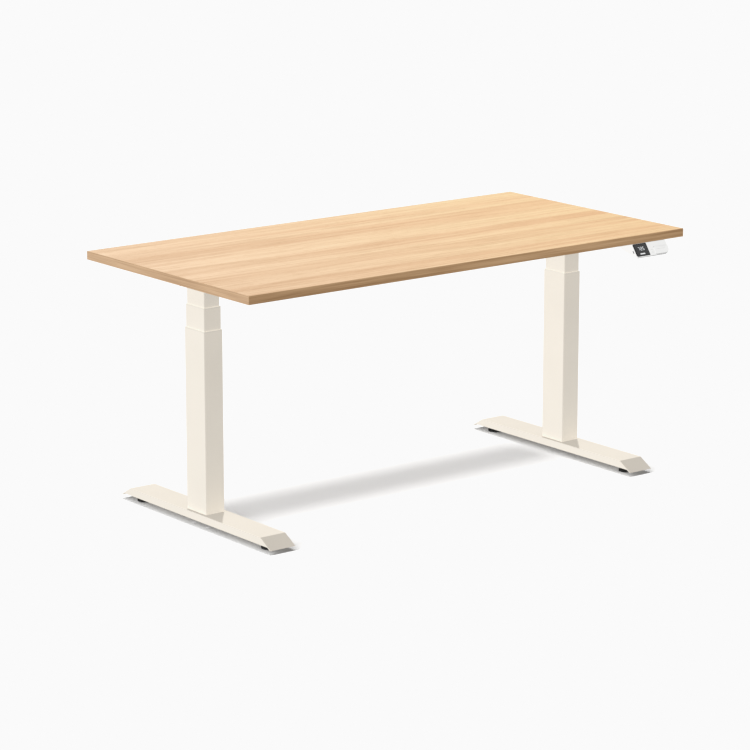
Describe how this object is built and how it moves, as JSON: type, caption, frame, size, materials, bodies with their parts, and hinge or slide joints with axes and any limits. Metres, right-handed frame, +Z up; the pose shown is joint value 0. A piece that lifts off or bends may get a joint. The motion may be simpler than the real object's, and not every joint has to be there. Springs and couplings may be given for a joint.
{
  "type": "height adjustable standing desk",
  "caption": "Standing desk with a rectangular wooden top on two motorised three-stage columns with T-shaped feet, and a sloping handset under the front edge.",
  "frame": {"origin": "floor level, at the middle of the whole outline seen from above, with the handset that stands 24 mm out in front of the desktop included; the desktop's own middle is 12 mm behind it", "axes": "+X along the desk to the user's right, +Y away from the user, +Z up"},
  "size_m": [1.5, 0.7751, 0.702],
  "materials": {
    "oak_top": "light oak grain laminate, satin",
    "oak_edge": "oak grain edge banding, satin",
    "frame_cream": "fine matt cream powder coat",
    "collar_cream": "moulded cream plastic",
    "zinc_steel": "zinc plated",
    "fasteners": "zinc plated",
    "cast_aluminium": "as cast",
    "motor_black": "satin black",
    "ground_steel": "ground and greased",
    "bronze": "machined bronze",
    "nut_polymer": "moulded bearing plastic",
    "guide_polymer": "moulded black bearing plastic",
    "box_black": "fine textured black plastic",
    "handset_white": "satin white plastic",
    "display_black": "gloss black display window",
    "port_metal": "drawn steel shell",
    "glide_black": "black rubber"
  },
  "bodies": {
    "base": {"left_foot_beam": "frame_cream", "right_foot_beam": "frame_cream", "left_outer_tube": "frame_cream", "right_outer_tube": "frame_cream", "outer_collars": "collar_cream", "base_plates": "zinc_steel", "foot_bolts": "fasteners", "base_push_tubes": "zinc_steel", "lower_nuts": "nut_polymer"},
    "left_middle_stage": {"left_middle_tube": "frame_cream", "left_middle_collar": "collar_cream", "left_middle_end_cap": "guide_polymer", "left_middle_push_tube": "zinc_steel", "left_upper_nut": "nut_polymer"},
    "right_middle_stage": {"right_middle_tube": "frame_cream", "right_middle_collar": "collar_cream", "right_middle_end_cap": "guide_polymer", "right_middle_push_tube": "zinc_steel", "right_upper_nut": "nut_polymer"},
    "top": {"desktop_board": "oak_top", "edge_bands": "oak_edge", "left_side_bracket": "frame_cream", "right_side_bracket": "frame_cream", "crossbeam_front_rail": "frame_cream", "crossbeam_rear_rail": "frame_cream", "beam_end_arms": "zinc_steel", "beam_clamp_screws": "fasteners", "desktop_screws": "fasteners", "left_gearbox_housing": "cast_aluminium", "right_gearbox_housing": "cast_aluminium", "gearbox_covers": "cast_aluminium", "left_motor": "motor_black", "right_motor": "motor_black", "left_inner_tube": "frame_cream", "right_inner_tube": "frame_cream", "inner_guide_shoes": "guide_polymer", "control_box_shell": "box_black", "control_box_cover": "box_black", "handset_housing": "handset_white", "handset_face": "handset_white", "display_glass": "display_black", "usb_port": "port_metal"},
    "paddle": {"height_paddle": "handset_white"},
    "button": {"preset_button": "handset_white"},
    "left_upper_screw": {"left_upper_spindle": "ground_steel", "left_worm_wheel": "bronze"},
    "left_lower_screw": {"left_lower_spindle": "ground_steel"},
    "left_worm": {"left_worm_shaft": "ground_steel"},
    "right_upper_screw": {"right_upper_spindle": "ground_steel", "right_worm_wheel": "bronze"},
    "right_lower_screw": {"right_lower_spindle": "ground_steel"},
    "right_worm": {"right_worm_shaft": "ground_steel"},
    "left_front_glide": {"left_front_glide_pad": "glide_black"},
    "left_front_stud": {"left_front_glide_stud": "fasteners"},
    "left_rear_glide": {"left_rear_glide_pad": "glide_black"},
    "left_rear_stud": {"left_rear_glide_stud": "fasteners"},
    "right_front_glide": {"right_front_glide_pad": "glide_black"},
    "right_front_stud": {"right_front_glide_stud": "fasteners"},
    "right_rear_glide": {"right_rear_glide_pad": "glide_black"},
    "right_rear_stud": {"right_rear_glide_stud": "fasteners"}
  },
  "joints": [
    {"name": "left_lift", "type": "slide", "parent": "base", "child": "left_middle_stage", "axis": [0, 0, 1], "range_m": [-0.041, 0.284]},
    {"name": "top_lift", "type": "slide", "parent": "left_middle_stage", "child": "top", "axis": [0, 0, 1], "range_m": [-0.041, 0.284]},
    {"name": "right_lift", "type": "slide", "parent": "base", "child": "right_middle_stage", "axis": [0, 0, 1], "range_m": [-0.041, 0.284]},
    {"name": "left_upper_screw_turn", "type": "hinge", "parent": "top", "child": "left_upper_screw", "pos_m": [-0.63, 0.012, 0.656], "axis": [0, 0, 1], "range_deg": [-1230.01, 8520.01]},
    {"name": "left_lower_screw_turn", "type": "hinge", "parent": "left_middle_stage", "child": "left_lower_screw", "pos_m": [-0.63, 0.012, 0.556], "axis": [0, 0, 1], "range_deg": [-1230.01, 8520.01]},
    {"name": "left_worm_turn", "type": "hinge", "parent": "top", "child": "left_worm", "pos_m": [-0.63, 0.0363, 0.6565], "axis": [1, 0, 0], "range_deg": [-36900.01, 255600.01]},
    {"name": "right_upper_screw_turn", "type": "hinge", "parent": "top", "child": "right_upper_screw", "pos_m": [0.63, 0.012, 0.656], "axis": [0, 0, 1], "range_deg": [-1230.01, 8520.01]},
    {"name": "right_lower_screw_turn", "type": "hinge", "parent": "right_middle_stage", "child": "right_lower_screw", "pos_m": [0.63, 0.012, 0.556], "axis": [0, 0, 1], "range_deg": [-1230.01, 8520.01]},
    {"name": "right_worm_turn", "type": "hinge", "parent": "top", "child": "right_worm", "pos_m": [0.63, 0.0363, 0.6565], "axis": [1, 0, 0], "range_deg": [-36900.01, 255600.01]},
    {"name": "paddle_rock", "type": "hinge", "parent": "top", "child": "paddle", "pos_m": [0.626, -0.37605, 0.65398], "axis": [1, 0, 0], "range_deg": [-4, 4], "stiffness_Nm_per_rad": 0.4},
    {"name": "preset_press", "type": "slide", "parent": "top", "child": "button", "axis": [0, 0.8146, -0.5801], "range_m": [0, 0.0006], "stiffness_N_per_m": 700, "springref_m": -0.0006},
    {"name": "left_front_glide_level", "type": "slide", "parent": "base", "child": "left_front_glide", "axis": [0, 0, -1], "range_m": [0, 0.01]},
    {"name": "left_front_stud_turn", "type": "hinge", "parent": "left_front_glide", "child": "left_front_stud", "pos_m": [-0.63, -0.278, 0.015], "axis": [0, 0, 1], "range_deg": [-2880.01, 0]},
    {"name": "left_rear_glide_level", "type": "slide", "parent": "base", "child": "left_rear_glide", "axis": [0, 0, -1], "range_m": [0, 0.01]},
    {"name": "left_rear_stud_turn", "type": "hinge", "parent": "left_rear_glide", "child": "left_rear_stud", "pos_m": [-0.63, 0.302, 0.015], "axis": [0, 0, 1], "range_deg": [-2880.01, 0]},
    {"name": "right_front_glide_level", "type": "slide", "parent": "base", "child": "right_front_glide", "axis": [0, 0, -1], "range_m": [0, 0.01]},
    {"name": "right_front_stud_turn", "type": "hinge", "parent": "right_front_glide", "child": "right_front_stud", "pos_m": [0.63, -0.278, 0.015], "axis": [0, 0, 1], "range_deg": [-2880.01, 0]},
    {"name": "right_rear_glide_level", "type": "slide", "parent": "base", "child": "right_rear_glide", "axis": [0, 0, -1], "range_m": [0, 0.01]},
    {"name": "right_rear_stud_turn", "type": "hinge", "parent": "right_rear_glide", "child": "right_rear_stud", "pos_m": [0.63, 0.302, 0.015], "axis": [0, 0, 1], "range_deg": [-2880.01, 0]}
  ],
  "couplings": [
    {"joint": "top_lift", "follows": "left_lift", "ratio": 1},
    {"joint": "right_lift", "follows": "left_lift", "ratio": 1},
    {"joint": "left_upper_screw_turn", "follows": "left_lift", "rad_per_m": 523.6},
    {"joint": "left_lower_screw_turn", "follows": "left_lift", "rad_per_m": 523.6},
    {"joint": "left_worm_turn", "follows": "left_lift", "rad_per_m": 15708},
    {"joint": "right_upper_screw_turn", "follows": "left_lift", "rad_per_m": 523.6},
    {"joint": "right_lower_screw_turn", "follows": "left_lift", "rad_per_m": 523.6},
    {"joint": "right_worm_turn", "follows": "left_lift", "rad_per_m": 15708},
    {"joint": "left_front_stud_turn", "follows": "left_front_glide_level", "rad_per_m": -5026.5},
    {"joint": "left_rear_stud_turn", "follows": "left_rear_glide_level", "rad_per_m": -5026.5},
    {"joint": "right_front_stud_turn", "follows": "right_front_glide_level", "rad_per_m": -5026.5},
    {"joint": "right_rear_stud_turn", "follows": "right_rear_glide_level", "rad_per_m": -5026.5}
  ]
}
